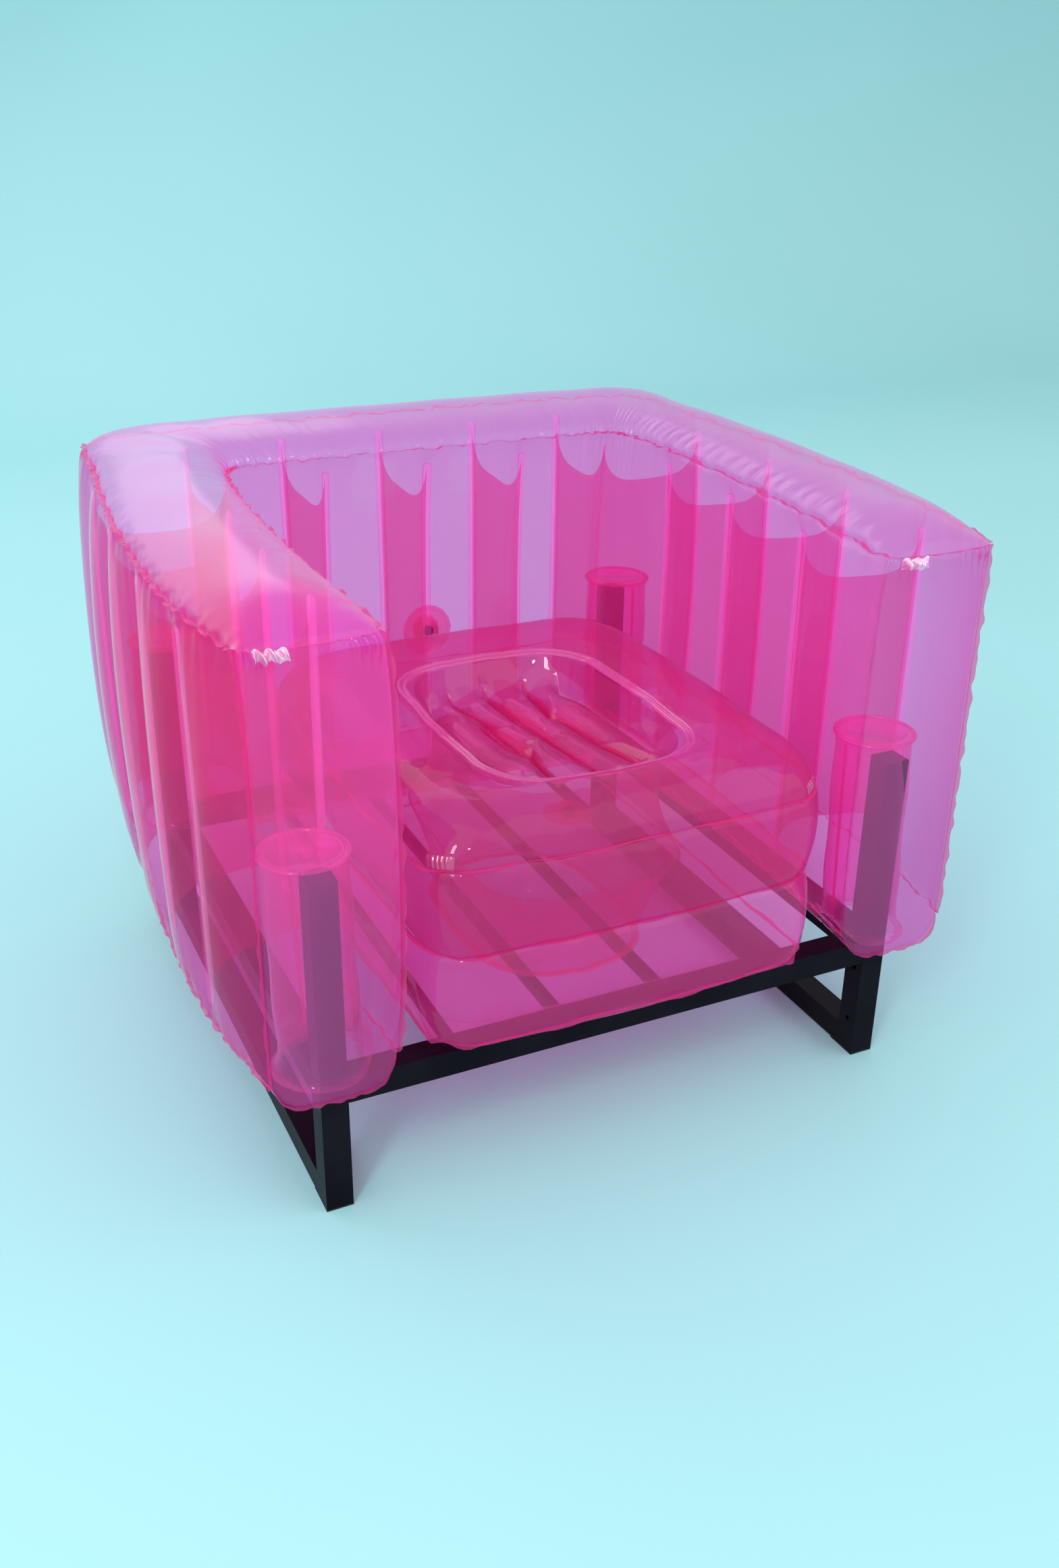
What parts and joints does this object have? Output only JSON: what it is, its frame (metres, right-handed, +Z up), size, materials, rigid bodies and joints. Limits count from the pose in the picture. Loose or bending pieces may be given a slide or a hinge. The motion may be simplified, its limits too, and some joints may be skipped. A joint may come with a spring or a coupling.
{
  "type": "inflatable armchair",
  "caption": "Transparent inflatable armchair: a quilted U of arms and back in tinted film on a dark square-tube steel frame, with a loose inflated seat cushion.",
  "frame": {"origin": "on the floor, under the middle of the chair's bounding box", "axes": "+X to the sitter's left when seated, which is the picture's right, +Y towards the back, +Z up"},
  "size_m": [0.8962, 0.8068, 0.6957],
  "materials": {
    "film": "glossy see-through tinted film",
    "inner_film": "glossy see-through tinted film",
    "valve": "glossy moulded plastic",
    "valve_pin": "matte",
    "frame_paint": "satin near-black paint",
    "bolt": "zinc-plated",
    "glide": "matte"
  },
  "bodies": {
    "frame": {"side_rail_left": "frame_paint", "side_rail_right": "frame_paint", "floor_rail_left": "frame_paint", "floor_rail_right": "frame_paint", "post_front_left": "frame_paint", "upright_front_left": "frame_paint", "corner_bolt_front_left": "bolt", "glide_front_left": "glide", "post_front_right": "frame_paint", "upright_front_right": "frame_paint", "corner_bolt_front_right": "bolt", "glide_front_right": "glide", "post_rear_left": "frame_paint", "upright_rear_left": "frame_paint", "corner_bolt_rear_left": "bolt", "glide_rear_left": "glide", "post_rear_right": "frame_paint", "upright_rear_right": "frame_paint", "corner_bolt_rear_right": "bolt", "glide_rear_right": "glide", "front_rail": "frame_paint", "rear_rail": "frame_paint", "seat_slat_1": "frame_paint", "seat_slat_2": "frame_paint", "seat_slat_3": "frame_paint", "seat_slat_4": "frame_paint"},
    "inflated_body": {"body_belly_panel": "film", "body_crown_panel": "film", "body_inner_wall": "film", "body_outer_wall": "film", "arm_nose_left": "film", "arm_nose_right": "film", "sleeve_front_left": "film", "sleeve_front_right": "film", "sleeve_rear_left": "film", "sleeve_rear_right": "film", "arm_web_left_1": "inner_film", "arm_web_left_2": "inner_film", "arm_web_left_3": "inner_film", "arm_web_right_1": "inner_film", "arm_web_right_2": "inner_film", "arm_web_right_3": "inner_film", "corner_web_left": "inner_film", "corner_web_right": "inner_film", "back_web_1": "inner_film", "back_web_2": "inner_film", "back_web_3": "inner_film", "body_valve_seat": "valve"},
    "seat_cushion": {"cushion_top_panel": "film", "cushion_upper_band": "film", "cushion_lower_band": "film", "cushion_well": "film", "cushion_waist_web": "inner_film", "cushion_pillar": "inner_film", "cushion_bottom_panel": "film", "cushion_valve_seat": "valve"},
    "body_valve_collar": {"body_valve_collar": "valve"},
    "body_valve_pin": {"body_valve_pin": "valve_pin"},
    "cushion_valve_collar": {"cushion_valve_collar": "valve"},
    "cushion_valve_pin": {"cushion_valve_pin": "valve_pin"}
  },
  "joints": [
    {"name": "body_lift", "type": "slide", "parent": "frame", "child": "inflated_body", "axis": [0, 0, 1], "range_m": [0, 0.26]},
    {"name": "cushion_lift", "type": "slide", "parent": "frame", "child": "seat_cushion", "axis": [0, 0, 1], "range_m": [0, 0.3]},
    {"name": "body_valve_turn", "type": "hinge", "parent": "inflated_body", "child": "body_valve_collar", "pos_m": [0.06971, 0.39377, 0.34335], "axis": [0, 1, 0], "range_deg": [0, 270]},
    {"name": "body_valve_press", "type": "slide", "parent": "inflated_body", "child": "body_valve_pin", "axis": [0, -1, 0], "range_m": [0, 0.003], "stiffness_N_per_m": 400},
    {"name": "cushion_valve_turn", "type": "hinge", "parent": "seat_cushion", "child": "cushion_valve_collar", "pos_m": [0.164, 0.09973, 0.15465], "axis": [0, 0, -1], "range_deg": [0, 270]},
    {"name": "cushion_valve_press", "type": "slide", "parent": "seat_cushion", "child": "cushion_valve_pin", "axis": [0, 0, 1], "range_m": [0, 0.003], "stiffness_N_per_m": 400}
  ]
}
